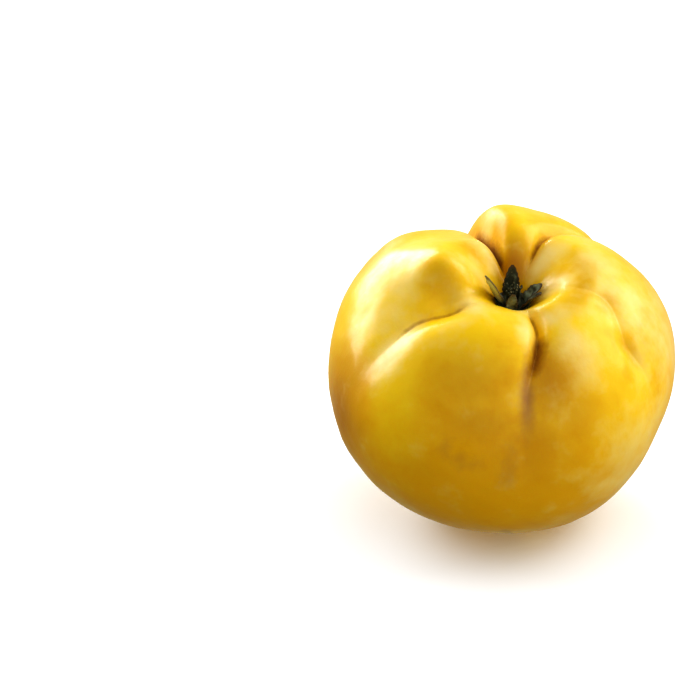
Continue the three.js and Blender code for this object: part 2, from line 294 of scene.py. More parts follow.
def unevenness(points, polar, bearing):
    """Height in millimetres of soft lumps, fine dimples, and wrinkles that run into the basin."""
    near_basin = np.exp(-((polar - WRINKLES["polar"]) / WRINKLES["polar_width"]) ** 2)
    side, away = np.cos(np.radians(bearing)), np.sin(np.radians(bearing))
    height = np.empty(len(points))
    for i, point in enumerate(points):
        spot = Vector(point)
        height[i] = LUMPS["height"] * noise.noise(spot / LUMPS["size"])
        height[i] += DIMPLES["height"] * noise.noise(spot / DIMPLES["size"])
        ray = Vector((side[i], away[i], polar[i] / WRINKLES["run"])) / WRINKLES["size"]
        height[i] += WRINKLES["height"] * noise.noise(ray) * near_basin[i]
    return height


# %% The skin
def skin_shape():
    """The body's mesh, with the polar angle and the bearing of each of its points."""
    shape = bmesh.new()
    bmesh.ops.create_uvsphere(shape, u_segments=COLUMNS, v_segments=RINGS, radius=1)
    even = np.array([vertex.co for vertex in shape.verts])
    ring_share = np.degrees(np.arccos(np.clip(even[:, 2], -1, 1))) / 180
    turn = np.degrees(np.arctan2(even[:, 1], even[:, 0])) / 360
    place = np.round(turn * COLUMNS) / COLUMNS % 1
    polar = np.interp(ring_share, RING_SHARES, RING_POLARS)
    bearing = column_bearing(place, polar)
    radius = skin_radius(polar, bearing)
    radius = radius + unevenness(polar_points(radius, polar, bearing), polar, bearing)
    points = in_world(polar_points(radius, polar, bearing))
    points[:, 2] = np.maximum(points[:, 2], 0)
    for vertex, point in zip(shape.verts, points):
        vertex.co = point
    return shape, polar, bearing


skin, skin_polar, skin_bearing = skin_shape()
print("skin:", len(skin.verts), "points")

# %% [markdown]
# ## A material written as sums
# A finish is a colour, a gloss and a relief that vary over the surface, so it is sums and products
# of a few patterns. Wired by hand, that thought is hard to see. A small class stands for a number
# that varies over a surface. Adding or multiplying two such numbers adds the Math node for it, so
# that a formula in the script reads as a formula. Every other node comes from one method. A finish
# then starts from one colour, and others are blended over it in order. Each has its own mask, which
# adds up clouds of noise and numbers marked on the mesh.

# %% A number that varies over a surface
class Amount:
    def __init__(self, finish, socket):
        self.finish = finish
        self.socket = socket

    def worked(self, operation, first, second, clamp=False):
        settings = {"operation": operation, "use_clamp": clamp}
        return self.finish.node("ShaderNodeMath", settings, {0: first, 1: second})

    def __add__(self, other):
        return self.worked("ADD", self, other)

    def __sub__(self, other):
        return self.worked("SUBTRACT", self, other)

    def __rsub__(self, other):
        return self.worked("SUBTRACT", other, self)

    def __mul__(self, other):
        return self.worked("MULTIPLY", self, other)

    __radd__ = __add__
    __rmul__ = __mul__

    def between(self, low, high):
        """0 at low, 1 at high, an even slope between them and flat beyond."""
        return self.worked("MULTIPLY", self - low, 1 / (high - low), clamp=True)


# %% Nodes that feed a surface or a sky
class Wiring:
    def __init__(self, owner, surface):
        owner.use_nodes = True
        self.owner = owner
        self.tree = owner.node_tree
        self.surface = self.tree.nodes[surface]

    def put(self, socket, value):
        if isinstance(value, Amount):
            self.tree.links.new(value.socket, socket)
        else:
            socket.default_value = value

    def node(self, kind, settings=None, sockets=None, output=0):
        made = self.tree.nodes.new(kind)
        for field, value in (settings or {}).items():
            setattr(made, field, value)
        for socket, value in (sockets or {}).items():
            self.put(made.inputs[socket], value)
        return Amount(self, made.outputs[output])

    def marked(self, name):
        """A number that the mesh holds for each of its points."""
        return self.node("ShaderNodeAttribute", {"attribute_name": name}, output="Fac")

    def cloud(self, size, detail, roughness=0.5):
        """Soft noise, 0 to 1, with patches of about the given size in millimetres."""
        place = self.node("ShaderNodeTexCoord", output="Object")
        sockets = {"Vector": place, "Scale": 1 / (size * MM), "Detail": detail, "Roughness": roughness}
        return self.node("ShaderNodeTexNoise", sockets=sockets)

    def blend(self, share, colour, other):
        settings = {"data_type": "RGBA"}
        return self.node("ShaderNodeMix", settings, {0: share, 6: colour, 7: other}, output=2)

    def relief(self, height, distance):
        """The normals of a bumpy surface, with bumps of the given height in millimetres."""
        return self.node("ShaderNodeBump", sockets={"Height": height, "Distance": distance * MM})

    def dress(self, **channels):
        for channel, value in channels.items():
            self.put(self.surface.inputs[channel.replace("_", " ")], value)
        return self.owner


# %% A material's clouds, masks and layers of colour
class Finish(Wiring):
    """The nodes of a new material, with its clouds by name and its even channels."""
    def __init__(self, name, clouds=None, **constants):
        super().__init__(bpy.data.materials.new(name), "Principled BSDF")
        self.clouds = {cloud: self.cloud(**form) for cloud, form in (clouds or {}).items()}
        self.dress(**constants)

    def mixed(self, weights):
        """A weighted sum of clouds and marks. A cloud counts from its middle value."""
        shares = []
        for name, weight in weights.items():
            share = self.clouds[name] - 0.5 if name in self.clouds else self.marked(name)
            shares.append(share * weight)
        return sum(shares[1:], shares[0])

    def layered(self, colour, layers):
        """A colour with others blended over it in order, and the masks that blend them, by name."""
        masks = {}
        for name, layer in layers.items():
            masks[name] = self.mixed(layer["weights"]).between(*layer["slope"])
            colour = self.blend(masks[name] * layer["strength"], colour, layer["colour"])
        return colour, masks


# %% Making and marking a piece
def piece_of(name, shape, material, solid):
    """An object made of a shape, at the origin, which stands for one of the solids."""
    mesh = bpy.data.meshes.new(name)
    shape.to_mesh(mesh)
    shape.free()
    mesh.shade_smooth()
    mesh.materials.append(material)
    piece = bpy.data.objects.new(name, mesh)
    bpy.context.scene.collection.objects.link(piece)
    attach(piece, "root")
    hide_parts(solid)
    triangles = sum(len(polygon.vertices) - 2 for polygon in mesh.polygons)
    print(name, "has", triangles, "triangles")
    return piece


def mark(mesh, name, values):
    """Gives each point of a mesh a number that a finish can read by its name."""
    attribute = mesh.attributes.new(name, "FLOAT", "POINT")
    attribute.data.foreach_set("value", np.asarray(values, dtype=np.float32))


# %% [markdown]
# ## The finish of the skin
# Ripe quince skin is a deep golden yellow under a thin natural wax. Its own colour drifts at random
# between lemon and amber, its front has mauve rubs, and lines of brown cork run along the creases.
# Light and shade are painted into the colour as well: lemon is painted light on the top and in lit
# patches, amber is painted shade in the valleys and towards the bottom, tawny is painted shade in a
# few dark places, and cream is painted highlights. Each of these is a mask that blends one more
# colour in. A mask that follows the form is a number marked on the mesh, and noise frays its edge,
# because on a living skin no edge is clean. Where the wax has worn thin, the coat that gives the
# gloss is thinner too.

# %% Colours of the skin
# The lemon colour also paints light and the cream colour paints highlights; the amber and tawny colours
# also paint shade.
GOLD = (0.81, 0.460, 0.003, 1)
LEMON_AND_LIGHT = (0.90, 0.610, 0.008, 1)
AMBER_AND_SHADE = (0.70, 0.340, 0.002, 1)
SHADE_TAWNY = (0.50, 0.225, 0.001, 1)
HIGHLIGHT_CREAM = (0.88, 0.700, 0.280, 1)
MAUVE = (0.40, 0.190, 0.055, 1)
CORK = (0.27, 0.095, 0.012, 1)
print("seven colours, from gold", GOLD[:3], "to cork", CORK[:3])

# %% Where the creases are corky, by furrow
# Half-widths are in millimetres, and the stretches are polar angles.
CORK_LINES = (
    dict(furrow=1, start=19, end=42, half_width=1.2, strength=0.8),
    dict(furrow=2, start=18, end=60, half_width=1.5, strength=1.0),
    dict(furrow=3, start=26, end=56, half_width=1.3, strength=0.6),
    dict(furrow=4, start=18, end=40, half_width=0.8, strength=0.6),
    dict(furrow=4, start=31, end=50, half_width=2.8, strength=0.9),
)
CORK_FADE = 8
print(len(CORK_LINES), "stretches of cork")

# %% Where light, shade and highlights are painted on the skin, where it is rubbed, and where its wax is worn
# A patch is a bell on the skin, with its place and its widths in degrees.
# These patches are painted light: lemon, lighter spots where the skin is meant to look brightly lit.
PAINTED_LIGHT_PATCHES = (
    dict(polar=74, bearing=176, polar_width=20, bearing_width=14, strength=0.9),
    dict(polar=68, bearing=224, polar_width=18, bearing_width=9, strength=1.0),
    dict(polar=38, bearing=233, polar_width=10, bearing_width=11, strength=1.0),
    dict(polar=57, bearing=199, polar_width=12, bearing_width=12, strength=1.2),
    dict(polar=78, bearing=230, polar_width=16, bearing_width=10, strength=1.0),
    dict(polar=28, bearing=308, polar_width=10, bearing_width=10, strength=1.2),
    dict(polar=72, bearing=325, polar_width=24, bearing_width=22, strength=0.9),
)
# These patches are painted shade: tawny, darker spots in hollows, round the calyx, on the front and on the
# left flank.
PAINTED_SHADE_PATCHES = (
    dict(polar=31, bearing=192, polar_width=9, bearing_width=12, strength=0.35),
    dict(polar=53, bearing=254, polar_width=12, bearing_width=20, strength=0.4),
    dict(polar=94, bearing=204, polar_width=18, bearing_width=16, strength=1.0),
    dict(polar=51, bearing=288, polar_width=13, bearing_width=10, strength=0.75),
    dict(polar=60, bearing=294, polar_width=11, bearing_width=10, strength=0.4),
    dict(polar=65, bearing=261, polar_width=8, bearing_width=13, strength=0.4),
    dict(polar=36, bearing=346, polar_width=6, bearing_width=9, strength=0.3),
    dict(polar=72, bearing=276, polar_width=14, bearing_width=14, strength=0.35),
    dict(polar=27, bearing=348, polar_width=5, bearing_width=20, strength=0.5),
    dict(polar=55, bearing=330, polar_width=7, bearing_width=4, strength=0.35),
    dict(polar=11, bearing=90, polar_width=6, bearing_width=60, strength=0.6),
    dict(polar=18, bearing=92, polar_width=9, bearing_width=11, strength=1.0),
    dict(polar=20, bearing=72, polar_width=5, bearing_width=2.5, strength=0.8),
    dict(polar=36, bearing=99, polar_width=12, bearing_width=6, strength=0.45),
    dict(polar=24, bearing=140, polar_width=7, bearing_width=6, strength=0.4),
)
# These patches are painted highlights and sheen: pale cream spots where the skin is meant to gleam.
PAINTED_HIGHLIGHT_PATCHES = (
    dict(polar=27, bearing=226, polar_width=6, bearing_width=9, strength=0.9),
    dict(polar=19, bearing=165, polar_width=6, bearing_width=7, strength=0.6),
    dict(polar=49, bearing=166, polar_width=14, bearing_width=14, strength=0.35),
    dict(polar=46, bearing=184, polar_width=10, bearing_width=9, strength=0.7),
    dict(polar=38, bearing=236, polar_width=8, bearing_width=9, strength=0.35),
    dict(polar=57, bearing=196, polar_width=9, bearing_width=11, strength=0.6),
    dict(polar=27, bearing=309, polar_width=8, bearing_width=5, strength=0.5),
    dict(polar=28, bearing=124, polar_width=8, bearing_width=7, strength=0.8),
    dict(polar=22, bearing=52, polar_width=7, bearing_width=6, strength=1.0),
    dict(polar=19, bearing=1, polar_width=5, bearing_width=8, strength=0.9),
    dict(polar=33, bearing=16, polar_width=10, bearing_width=9, strength=0.7),
    dict(polar=42, bearing=303, polar_width=13, bearing_width=6, strength=0.85),
    dict(polar=55, bearing=352, polar_width=20, bearing_width=18, strength=0.6),
    dict(polar=90, bearing=318, polar_width=22, bearing_width=24, strength=0.5),
    dict(polar=20, bearing=285, polar_width=4, bearing_width=5, strength=0.9),
    dict(polar=30, bearing=279, polar_width=8, bearing_width=4, strength=0.75),
    dict(polar=27, bearing=299, polar_width=7, bearing_width=3, strength=0.9),
    dict(polar=59, bearing=213, polar_width=11, bearing_width=7, strength=1.0),
    dict(polar=49, bearing=103, polar_width=8, bearing_width=3, strength=0.8),
)
RUBS = (
    dict(polar=56, bearing=276, polar_width=12, bearing_width=2.6, strength=1.0),
    dict(polar=76, bearing=250, polar_width=5, bearing_width=3.0, strength=0.30),
    dict(polar=80, bearing=257, polar_width=4, bearing_width=6.0, strength=0.30),
    dict(polar=80, bearing=271, polar_width=9, bearing_width=3.5, strength=0.35),
)
WORN_PATCHES = (
    dict(polar=36, bearing=99, polar_width=14, bearing_width=7, strength=1.0),
    dict(polar=24, bearing=140, polar_width=8, bearing_width=9, strength=1.0),
    dict(polar=46, bearing=150, polar_width=10, bearing_width=8, strength=0.5),
)
PATCHES = dict(painted_light=PAINTED_LIGHT_PATCHES, painted_shade=PAINTED_SHADE_PATCHES, pale=PAINTED_HIGHLIGHT_PATCHES, rub=RUBS,
               worn=WORN_PATCHES)
print({name: len(patches) for name, patches in PATCHES.items()}, "patches")


# %% Masks that follow the form
# In degrees of polar angle, the crown's mask grows from its start towards the calyx, and the
# underside's towards the stem.
# The crown's mask paints light on the top, and the underside's mask paints shade, darker towards the
# bottom.
CROWN = dict(start=84, span=-48)
UNDERSIDE = dict(start=84, span=44)


def most(shares):
    """The strongest of several masks at each point."""
    return np.max(np.stack(list(shares)), axis=0)


def cork_share(line, polar, bearing):
    reach = stretch(polar, line["start"], line["end"], CORK_FADE, CORK_FADE)
    distance = crease_distance(FURROWS[line["furrow"]], polar, bearing)
    return line["strength"] * reach * np.exp(-((distance / line["half_width"]) ** 2))


def skin_marks(polar, bearing):
    """The masks that follow the form of the skin, by name."""
    marks = {
        # The valley mark paints shade into the furrows' valleys.
        "valley": most(valley_share(furrow, polar, bearing) for furrow in FURROWS),
        "cork": most(cork_share(line, polar, bearing) for line in CORK_LINES),
        "crown": smooth((polar - CROWN["start"]) / CROWN["span"]),
        "underside": smooth((polar - UNDERSIDE["start"]) / UNDERSIDE["span"]),
        "hollow": hollow_share(polar),
    }
    for name, patches in PATCHES.items():
        marks[name] = most(patch["strength"] * bell(patch, polar, bearing) for patch in patches)
    return marks


# %% The clouds and the layers of the skin's colour
# Clouds have a size in millimetres. A mask's slope is where it starts to show and where it is full.
SKIN_CLOUDS = dict(
    drift=dict(size=34, detail=2),
    blotch=dict(size=9, detail=3, roughness=0.6),
    mottle=dict(size=4, detail=4, roughness=0.6),
    fray=dict(size=1.8, detail=3, roughness=0.6),
    pores=dict(size=0.7, detail=2),
)
SKIN_LAYERS = dict(
    # Lemon: a random drift and blotches, plus painted light on the top and in the lit patches.
    lemon_and_painted_light=dict(colour=LEMON_AND_LIGHT, strength=1.0, slope=(0.1, 0.9),
               weights=dict(crown=0.7, painted_light=0.9, drift=0.8, blotch=1.2)),
    # Amber: random mottle and blotches, plus painted shade in the valleys and towards the bottom.
    amber_and_painted_shade=dict(colour=AMBER_AND_SHADE, strength=1.0, slope=(0.1, 0.9),
               weights=dict(valley=0.35, underside=0.2, painted_light=-0.15, mottle=0.5, blotch=-0.6)),
    # Tawny: painted shade on its patches, frayed by the drift.
    painted_shade=dict(colour=SHADE_TAWNY, strength=1.0, slope=(0.05, 0.95),
               weights=dict(painted_shade=1.0, drift=0.4)),
    # Cream: painted highlights on the pale patches, with a few random flecks from the blotches and mottle.
    painted_highlight=dict(colour=HIGHLIGHT_CREAM, strength=0.75, slope=(0.1, 0.9),
               weights=dict(pale=1.0, blotch=1.0, mottle=0.5)),
    mauve=dict(colour=MAUVE, strength=0.9, slope=(0.1, 1.0),
               weights=dict(rub=1.0, mottle=0.5)),
    cork=dict(colour=CORK, strength=0.85, slope=(0.25, 0.9),
              weights=dict(cork=1.0, hollow=1.0, fray=0.5)),
)
print("over the gold:", ", ".join(SKIN_LAYERS))

# %% The finish of the skin
# Flesh glows a little under the skin. The wax is the coat: thicker in blotches, thin where worn.
FLESH = dict(Subsurface_Weight=0.10, Subsurface_Radius=(1.0, 0.4, 0.05), Subsurface_Scale=0.004)
WAX = dict(Specular_IOR_Level=0.1, Coat_Roughness=0.22)
COAT = dict(least=0.25, blotch=0.3, slope=(0.3, 0.65), worn=0.4, cork=0.3)
ROUGHNESS = dict(least=0.32, mottle=0.10, cork=0.35, rub=0.15)
PITTING = dict(height=0.12, mottle=0.7, pores=0.3)


def skin_finish():
    finish = Finish("quince_skin", SKIN_CLOUDS, **FLESH, **WAX)
    colour, masks = finish.layered(GOLD, SKIN_LAYERS)
    mottle, cork = finish.clouds["mottle"], masks["cork"]
    roughness = ROUGHNESS["least"] + mottle * ROUGHNESS["mottle"]
    roughness = roughness + cork * ROUGHNESS["cork"] + masks["mauve"] * ROUGHNESS["rub"]
    coat = finish.clouds["blotch"].between(*COAT["slope"]) * COAT["blotch"] + COAT["least"]
    coat = coat - finish.marked("worn") * COAT["worn"] - cork * COAT["cork"]
    pits = mottle * PITTING["mottle"] + finish.clouds["pores"] * PITTING["pores"]
    relief = finish.relief(pits + cork * finish.clouds["fray"], distance=PITTING["height"])
    return finish.dress(Base_Color=colour, Roughness=roughness, Normal=relief, Coat_Weight=coat)


fruit = piece_of("quince_fruit", skin, skin_finish(), "fruit")
for name, values in skin_marks(skin_polar, skin_bearing).items():
    mark(fruit.data, name, values)
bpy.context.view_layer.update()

# %% [markdown]
# ## The calyx
# The flower's five sepals stay on the fruit and dry out: sage green and olive, with dark curled
# margins. They stand on a shallow cup that lies on the basin's floor. A sepal is a flat leaf, so
# it starts as a flat grid, which a formula cuts to a leaf's outline and bends, and which is then
# given its thickness. The cup is a sphere pressed into a cap that follows the basin's floor.

# %% Sizes of the calyx
TOUCH_GAP = 0.35
CUP = dict(edge=11, thickness=1.3, edge_thickness=0.7)
CAP_SEGMENTS = dict(u_segments=64, v_segments=24)
SEPAL_ROOT = dict(polar=9.6, sink=0.9)
SEPAL_THICKNESS = 0.45
SEPALS = (
    dict(bearing=98, twist=0, length=9.4, width=4.6, lean=13, curl=4, cupping=0.5, green=0.1),
    dict(bearing=185, twist=40, length=15, width=4.2, lean=26, curl=5, cupping=0.5, green=1.0),
    dict(bearing=264, twist=0, length=6.2, width=3.2, lean=2, curl=-8, cupping=0.5, green=0.35),
    dict(bearing=332, twist=0, length=8.4, width=4.0, lean=20, curl=24, cupping=0.6, green=0.3),
    dict(bearing=16, twist=0, length=7.3, width=4.2, lean=26, curl=24, cupping=0.6, green=0.3),
)
print(len(SEPALS), "sepals, up to", max(spec["length"] for spec in SEPALS), "mm long")

# %% The form of a sepal
# Its outline is a stretch of an arch, skewed towards its root. Veins, a sunken midrib and crinkles
# shape its face, and its margin is ruffled and dries first, as its tip does.
SEPAL_ARCH = dict(start=0.24, end=0.985, skew=0.85, fullness=0.65)
SEPAL_GRID = dict(x_segments=16, y_segments=40)
VEINS = dict(height=0.07, rate=11)
MIDRIB = dict(depth=0.16, half_width=0.16)
CRINKLES = dict(height=0.5, across=1.2, along=4)
RUFFLE = dict(depth=0.06, rate=40)
MARGIN_POWER = 3
DRY_TIP = 0.7
print("a sepal's grid has", SEPAL_GRID["x_segments"] * SEPAL_GRID["y_segments"], "faces")


# %% A cap on the basin's floor
def add_cap(shape, edge, edge_thickness, below, above):
    """A sphere pressed into a cap whose middle reaches from below to above over the floor."""
    made = bmesh.ops.create_uvsphere(shape, radius=1, **CAP_SEGMENTS)
    for vertex in made["verts"]:
        from_top = math.degrees(math.acos(max(-1, min(1, vertex.co.z))))
        on_top = from_top <= 90
        share = (from_top if on_top else 180 - from_top) / 90
        bearing = math.degrees(math.atan2(vertex.co.y, vertex.co.x))
        swell = edge_thickness + (above - below - edge_thickness) * (1 - share * share)
        radius = skin_radius(edge * share, bearing) + (below + swell if on_top else below)
        vertex.co = Vector(polar_points(radius, edge * share, bearing))


# %% A sepal
def margin_share(place):
    """0 over most of a sepal's width, rising to 1 at its two margins."""
    return abs(place) ** MARGIN_POWER


def sepal_spot(spec, share, place):
    """A leaf's middle surface: how far it is up, out and to the side of its root."""
    mean_bend = math.radians(spec["lean"] + spec["curl"] * share / 2)
    bend = math.radians(spec["lean"] + spec["curl"] * share)
    span = SEPAL_ARCH["end"] - SEPAL_ARCH["start"]
    along = SEPAL_ARCH["start"] + span * share ** SEPAL_ARCH["skew"]
    form = math.sin(math.pi * along) ** SEPAL_ARCH["fullness"]
    crinkle_spot = Vector((place * CRINKLES["across"], share * CRINKLES["along"], spec["bearing"]))
    crinkle = CRINKLES["height"] * noise.noise(crinkle_spot)
    veins = VEINS["height"] * math.cos(place * VEINS["rate"])
    midrib = MIDRIB["depth"] * math.exp(-((place / MIDRIB["half_width"]) ** 2))
    dish = form * (spec["cupping"] * place ** 2 + crinkle * abs(place) + veins - midrib)
    run = spec["length"] * share - SEPAL_ROOT["sink"]
    up = TOUCH_GAP + CUP["thickness"] + run * math.cos(mean_bend) + dish * math.sin(bend)
    out = run * math.sin(mean_bend) - dish * math.cos(bend)
    ruffle = RUFFLE["depth"] * math.sin(share * RUFFLE["rate"] + spec["bearing"])
    return up, out, spec["width"] / 2 * form * place * (1 + ruffle * margin_share(place))


def add_sepal(shape, spec, marks):
    """A grid bent into a leaf and made thick. Its points are marked for the finish."""
    facing = math.radians(spec["bearing"] + spec["twist"])
    outward = Vector((math.cos(facing), math.sin(facing), 0))
    sideways = Vector((-outward.y, outward.x, 0))
    root_radius = skin_radius(float(SEPAL_ROOT["polar"]), spec["bearing"])
    root = Vector(polar_points(root_radius, SEPAL_ROOT["polar"], spec["bearing"]))
    made = bmesh.ops.create_grid(shape, size=0.5, **SEPAL_GRID)
    for vertex in made["verts"]:
        share, place = vertex.co.y + 0.5, 2 * vertex.co.x
        up, out, side = sepal_spot(spec, share, place)
        vertex.co = root + Vector((0, 0, up)) + outward * out + sideways * side
        vertex[marks["margin"]] = max(margin_share(place), smooth((share - DRY_TIP) / (1 - DRY_TIP)))
        vertex[marks["green"]] = spec["green"]
    faces = list({face for vertex in made["verts"] for face in vertex.link_faces})
    bmesh.ops.solidify(shape, geom=faces, thickness=SEPAL_THICKNESS)


# %% The calyx's shape
def calyx_shape():
    shape = bmesh.new()
    marks = {name: shape.verts.layers.float.new(name) for name in ("margin", "green")}
    add_cap(shape, CUP["edge"], CUP["edge_thickness"], TOUCH_GAP, TOUCH_GAP + CUP["thickness"])
    for spec in SEPALS:
        add_sepal(shape, spec, marks)
    bmesh.ops.recalc_face_normals(shape, faces=shape.faces)
    bmesh.ops.transform(shape, matrix=Matrix.Scale(MM, 4) @ STANCE, verts=shape.verts)
    return shape


# %% The finish of the sepals
OLIVE = (0.052, 0.056, 0.026, 1)
SAGE = (0.560, 0.640, 0.430, 1)
STRAW = (0.420, 0.340, 0.170, 1)
UMBER = (0.120, 0.065, 0.028, 1)
SEPAL_CLOUDS = dict(
    patch=dict(size=2.5, detail=3),
    fleck=dict(size=0.6, detail=3, roughness=0.6),
)
SEPAL_LAYERS = dict(
    sage=dict(colour=SAGE, strength=1.0, slope=(0.2, 0.8), weights=dict(green=1.0, patch=1.2)),
    umber=dict(colour=UMBER, strength=0.8, slope=(0.4, 0.9), weights=dict(margin=1.0, fleck=0.8)),
    straw=dict(colour=STRAW, strength=0.6, slope=(0.12, 0.22), weights=dict(fleck=1.0)),
)
SEPAL_RELIEF = 0.15


def sepal_finish():
    finish = Finish("dried_sepal", SEPAL_CLOUDS, Roughness=0.7)
    colour, _ = finish.layered(OLIVE, SEPAL_LAYERS)
    crinkled = finish.clouds["fleck"] + finish.clouds["patch"]
    return finish.dress(Base_Color=colour, Normal=finish.relief(crinkled, distance=SEPAL_RELIEF))


piece_of("quince_calyx", calyx_shape(), sepal_finish(), "calyx")

# %% [markdown]
# ## The stamens
# Inside the calyx the stamens have dried to a tuft of bent dark threads round five styles, and
# some still carry their pale heads. A thread is drawn up from a small disc by extruding its top
# again and again, each time a little turned and scaled, which is how a stalk grows too.

# %% Sizes of the tuft
# A head's place, half_length and start are shares of its thread's length. CHANCE says how far a
# thread may stray from the even ring, from its usual lean and length, and from straight.
DOME = dict(edge=5.4, height=1.5, edge_thickness=0.7)
THREADS = dict(count=24, ring_radius=1.4, length=5.0, root=0.20, tip=0.11, head=0.30, spread=11)
STYLES = dict(count=5, ring_radius=0.5, length=4.8, root=0.26, tip=0.20, head=0.30, spread=6)
THREAD_STEPS = 10
THREAD_SIDES = 8
THREAD_SINK = 0.6
HEAD = dict(place=0.92, half_length=0.07, start=0.8, rise=0.1)
USUAL_LEAN = 0.4
CHANCE = dict(bearing=0.3, lean=0.6, bend=40, length=0.18)
print(THREADS["count"], "threads and", STYLES["count"], "styles")

# %% Chance that comes out the same each time
SEED = 7
DRAW_FACTOR = 16807
DRAW_PRIME = 2147483647


def draws(seed):
    """Seeded draws between -1 and 1."""
    state = seed
    while True:
        state = state * DRAW_FACTOR % DRAW_PRIME
        yield 2 * state / DRAW_PRIME - 1


# %% One thread
def thread_radius(kind, share):
    """A thread thins towards its tip, and swells again into its head."""
    head = math.exp(-(((share - HEAD["place"]) / HEAD["half_length"]) ** 2))
    return kind["root"] + (kind["tip"] - kind["root"]) * share + (kind["head"] - kind["tip"]) * head


def add_thread(shape, kind, place, bend, length, mark_of_head):
    """A stalk drawn up along Z, bending as it goes, and then put in its place."""
    step = length / THREAD_STEPS
    made = bmesh.ops.create_cone(shape, cap_ends=True, segments=THREAD_SIDES, radius1=kind["root"],
                                 radius2=kind["root"], depth=step)
    points = list(made["verts"])
    top = max({face for vertex in points for face in vertex.link_faces},
              key=lambda face: face.calc_center_median().z)
    heading = Matrix.Identity(3)
    for count in range(2, THREAD_STEPS + 1):
        share = count / THREAD_STEPS
        heading = Matrix.Rotation(math.radians(bend / THREAD_STEPS), 3, "Y") @ heading
        top = bmesh.ops.extrude_discrete_faces(shape, faces=[top])["faces"][0]
        centre = top.calc_center_median() + heading @ Vector((0, 0, step))
        for corner, vertex in enumerate(top.verts):
            angle = 2 * math.pi * corner / THREAD_SIDES
            arm = Vector((math.cos(angle), math.sin(angle), 0)) * thread_radius(kind, share)
            vertex.co = centre + heading @ arm
            vertex[mark_of_head] = smooth((share - HEAD["start"]) / HEAD["rise"])
        points += top.verts
    bmesh.ops.transform(shape, matrix=place, verts=points)


# %% The tuft's shape
def stamen_shape():
    shape = bmesh.new()
    mark_of_head = shape.verts.layers.float.new("head")
    below = 2 * TOUCH_GAP + CUP["thickness"]
    add_cap(shape, DOME["edge"], DOME["edge_thickness"], below, below + DOME["height"])
    floor = float(skin_radius(0.0, 0.0)) + below + DOME["height"] - THREAD_SINK
    draw = draws(SEED)
    for kind in (THREADS, STYLES):
        for i in range(kind["count"]):
            bearing = math.radians(360 * (i + CHANCE["bearing"] * next(draw)) / kind["count"])
            lean = math.radians(kind["spread"] * (USUAL_LEAN + CHANCE["lean"] * next(draw)))
            bend = CHANCE["bend"] * next(draw)
            length = kind["length"] * (1 + CHANCE["length"] * next(draw))
            place = Matrix.Rotation(bearing, 4, "Z") @ Matrix.Translation((kind["ring_radius"], 0, floor))
            place = place @ Matrix.Rotation(lean, 4, "Y")
            add_thread(shape, kind, place, bend, length, mark_of_head)
    bmesh.ops.recalc_face_normals(shape, faces=shape.faces)
    bmesh.ops.transform(shape, matrix=Matrix.Scale(MM, 4) @ STANCE, verts=shape.verts)
    return shape


# %% The finish of the stamens
STAMEN_CLOUDS = dict(fleck=dict(size=0.8, detail=2))
STAMEN_LAYERS = dict(
    straw=dict(colour=STRAW, strength=1.0, slope=(1.0, 1.6), weights=dict(head=1.0, fleck=2.0)),
)


def stamen_finish():
    finish = Finish("dried_stamen", STAMEN_CLOUDS, Roughness=0.85)
    colour, _ = finish.layered(OLIVE, STAMEN_LAYERS)
    return finish.dress(Base_Color=colour)


piece_of("quince_stamens", stamen_shape(), stamen_finish(), "stamens")

# %% [markdown]
# ## The stem
# The stem is a short woody stub under the fruit, in its own small hollow, with a flared scar where
# it broke from the branch. A turned shape suits it: its outline is a row of edges, which a full
# spin turns round the axis. Ridges of bark and a slight bend keep it from looking lathe-made.

# %% Sizes of the stem
STEM = dict(length=4.6, clearance=0.6, bend=0.5)
STEM_OUTLINE = ((0, 0), (2.4, 0), (2.5, 0.5), (2.25, 1.0), (2.1, 1.5), (2.0, 2.2), (2.0, 2.8),
                (2.3, 3.4), (2.7, 4.0), (2.75, 4.3), (2.5, 4.6), (1.6, 4.5), (0, 4.35))
STEM_SIDES = 48
MERGE_DISTANCE = 0.001
BARK_WAVES = (dict(height=0.035, count=9, twist=3), dict(height=0.03, count=17, twist=-5))
print("the stem is", STEM["length"], "mm long")


# %% The stem's shape
def bark_ridge(turn, down):
    """How far the bark stands out, as a share of the stem's radius."""
    waves = (wave["height"] * math.sin(wave["count"] * turn + wave["twist"] * down) for wave in BARK_WAVES)
    return sum(waves)


def stem_shape():
    shape = bmesh.new()
    points = [shape.verts.new((radius, 0, -down)) for radius, down in STEM_OUTLINE]
    edges = [shape.edges.new(pair) for pair in zip(points, points[1:])]
    bmesh.ops.spin(shape, geom=points + edges, cent=(0, 0, 0), axis=(0, 0, 1), angle=2 * math.pi,
                   steps=STEM_SIDES, use_merge=True)
    bmesh.ops.remove_doubles(shape, verts=shape.verts, dist=MERGE_DISTANCE)
    bmesh.ops.recalc_face_normals(shape, faces=shape.faces)
    for vertex in shape.verts:
        down = -vertex.co.z / STEM["length"]
        ridge = bark_ridge(math.atan2(vertex.co.y, vertex.co.x), down)
        vertex.co.x = vertex.co.x * (1 + ridge) + STEM["bend"] * down * down
        vertex.co.y = vertex.co.y * (1 + ridge)
    start = float(skin_radius(180.0, 0.0)) + STEM["clearance"]
    bmesh.ops.translate(shape, verts=shape.verts, vec=(0, 0, -start))
    bmesh.ops.transform(shape, matrix=Matrix.Scale(MM, 4) @ STANCE, verts=shape.verts)
    return shape


# %% The finish of the stem
BARK = (0.155, 0.070, 0.030, 1)
SCAR = (0.420, 0.290, 0.160, 1)
BARK_CLOUDS = dict(grain=dict(size=1.2, detail=4, roughness=0.6))
BARK_LAYERS = dict(
    scar=dict(colour=SCAR, strength=1.0, slope=(-0.15, 0.25), weights=dict(grain=1.0)),
)
BARK_RELIEF = 0.3


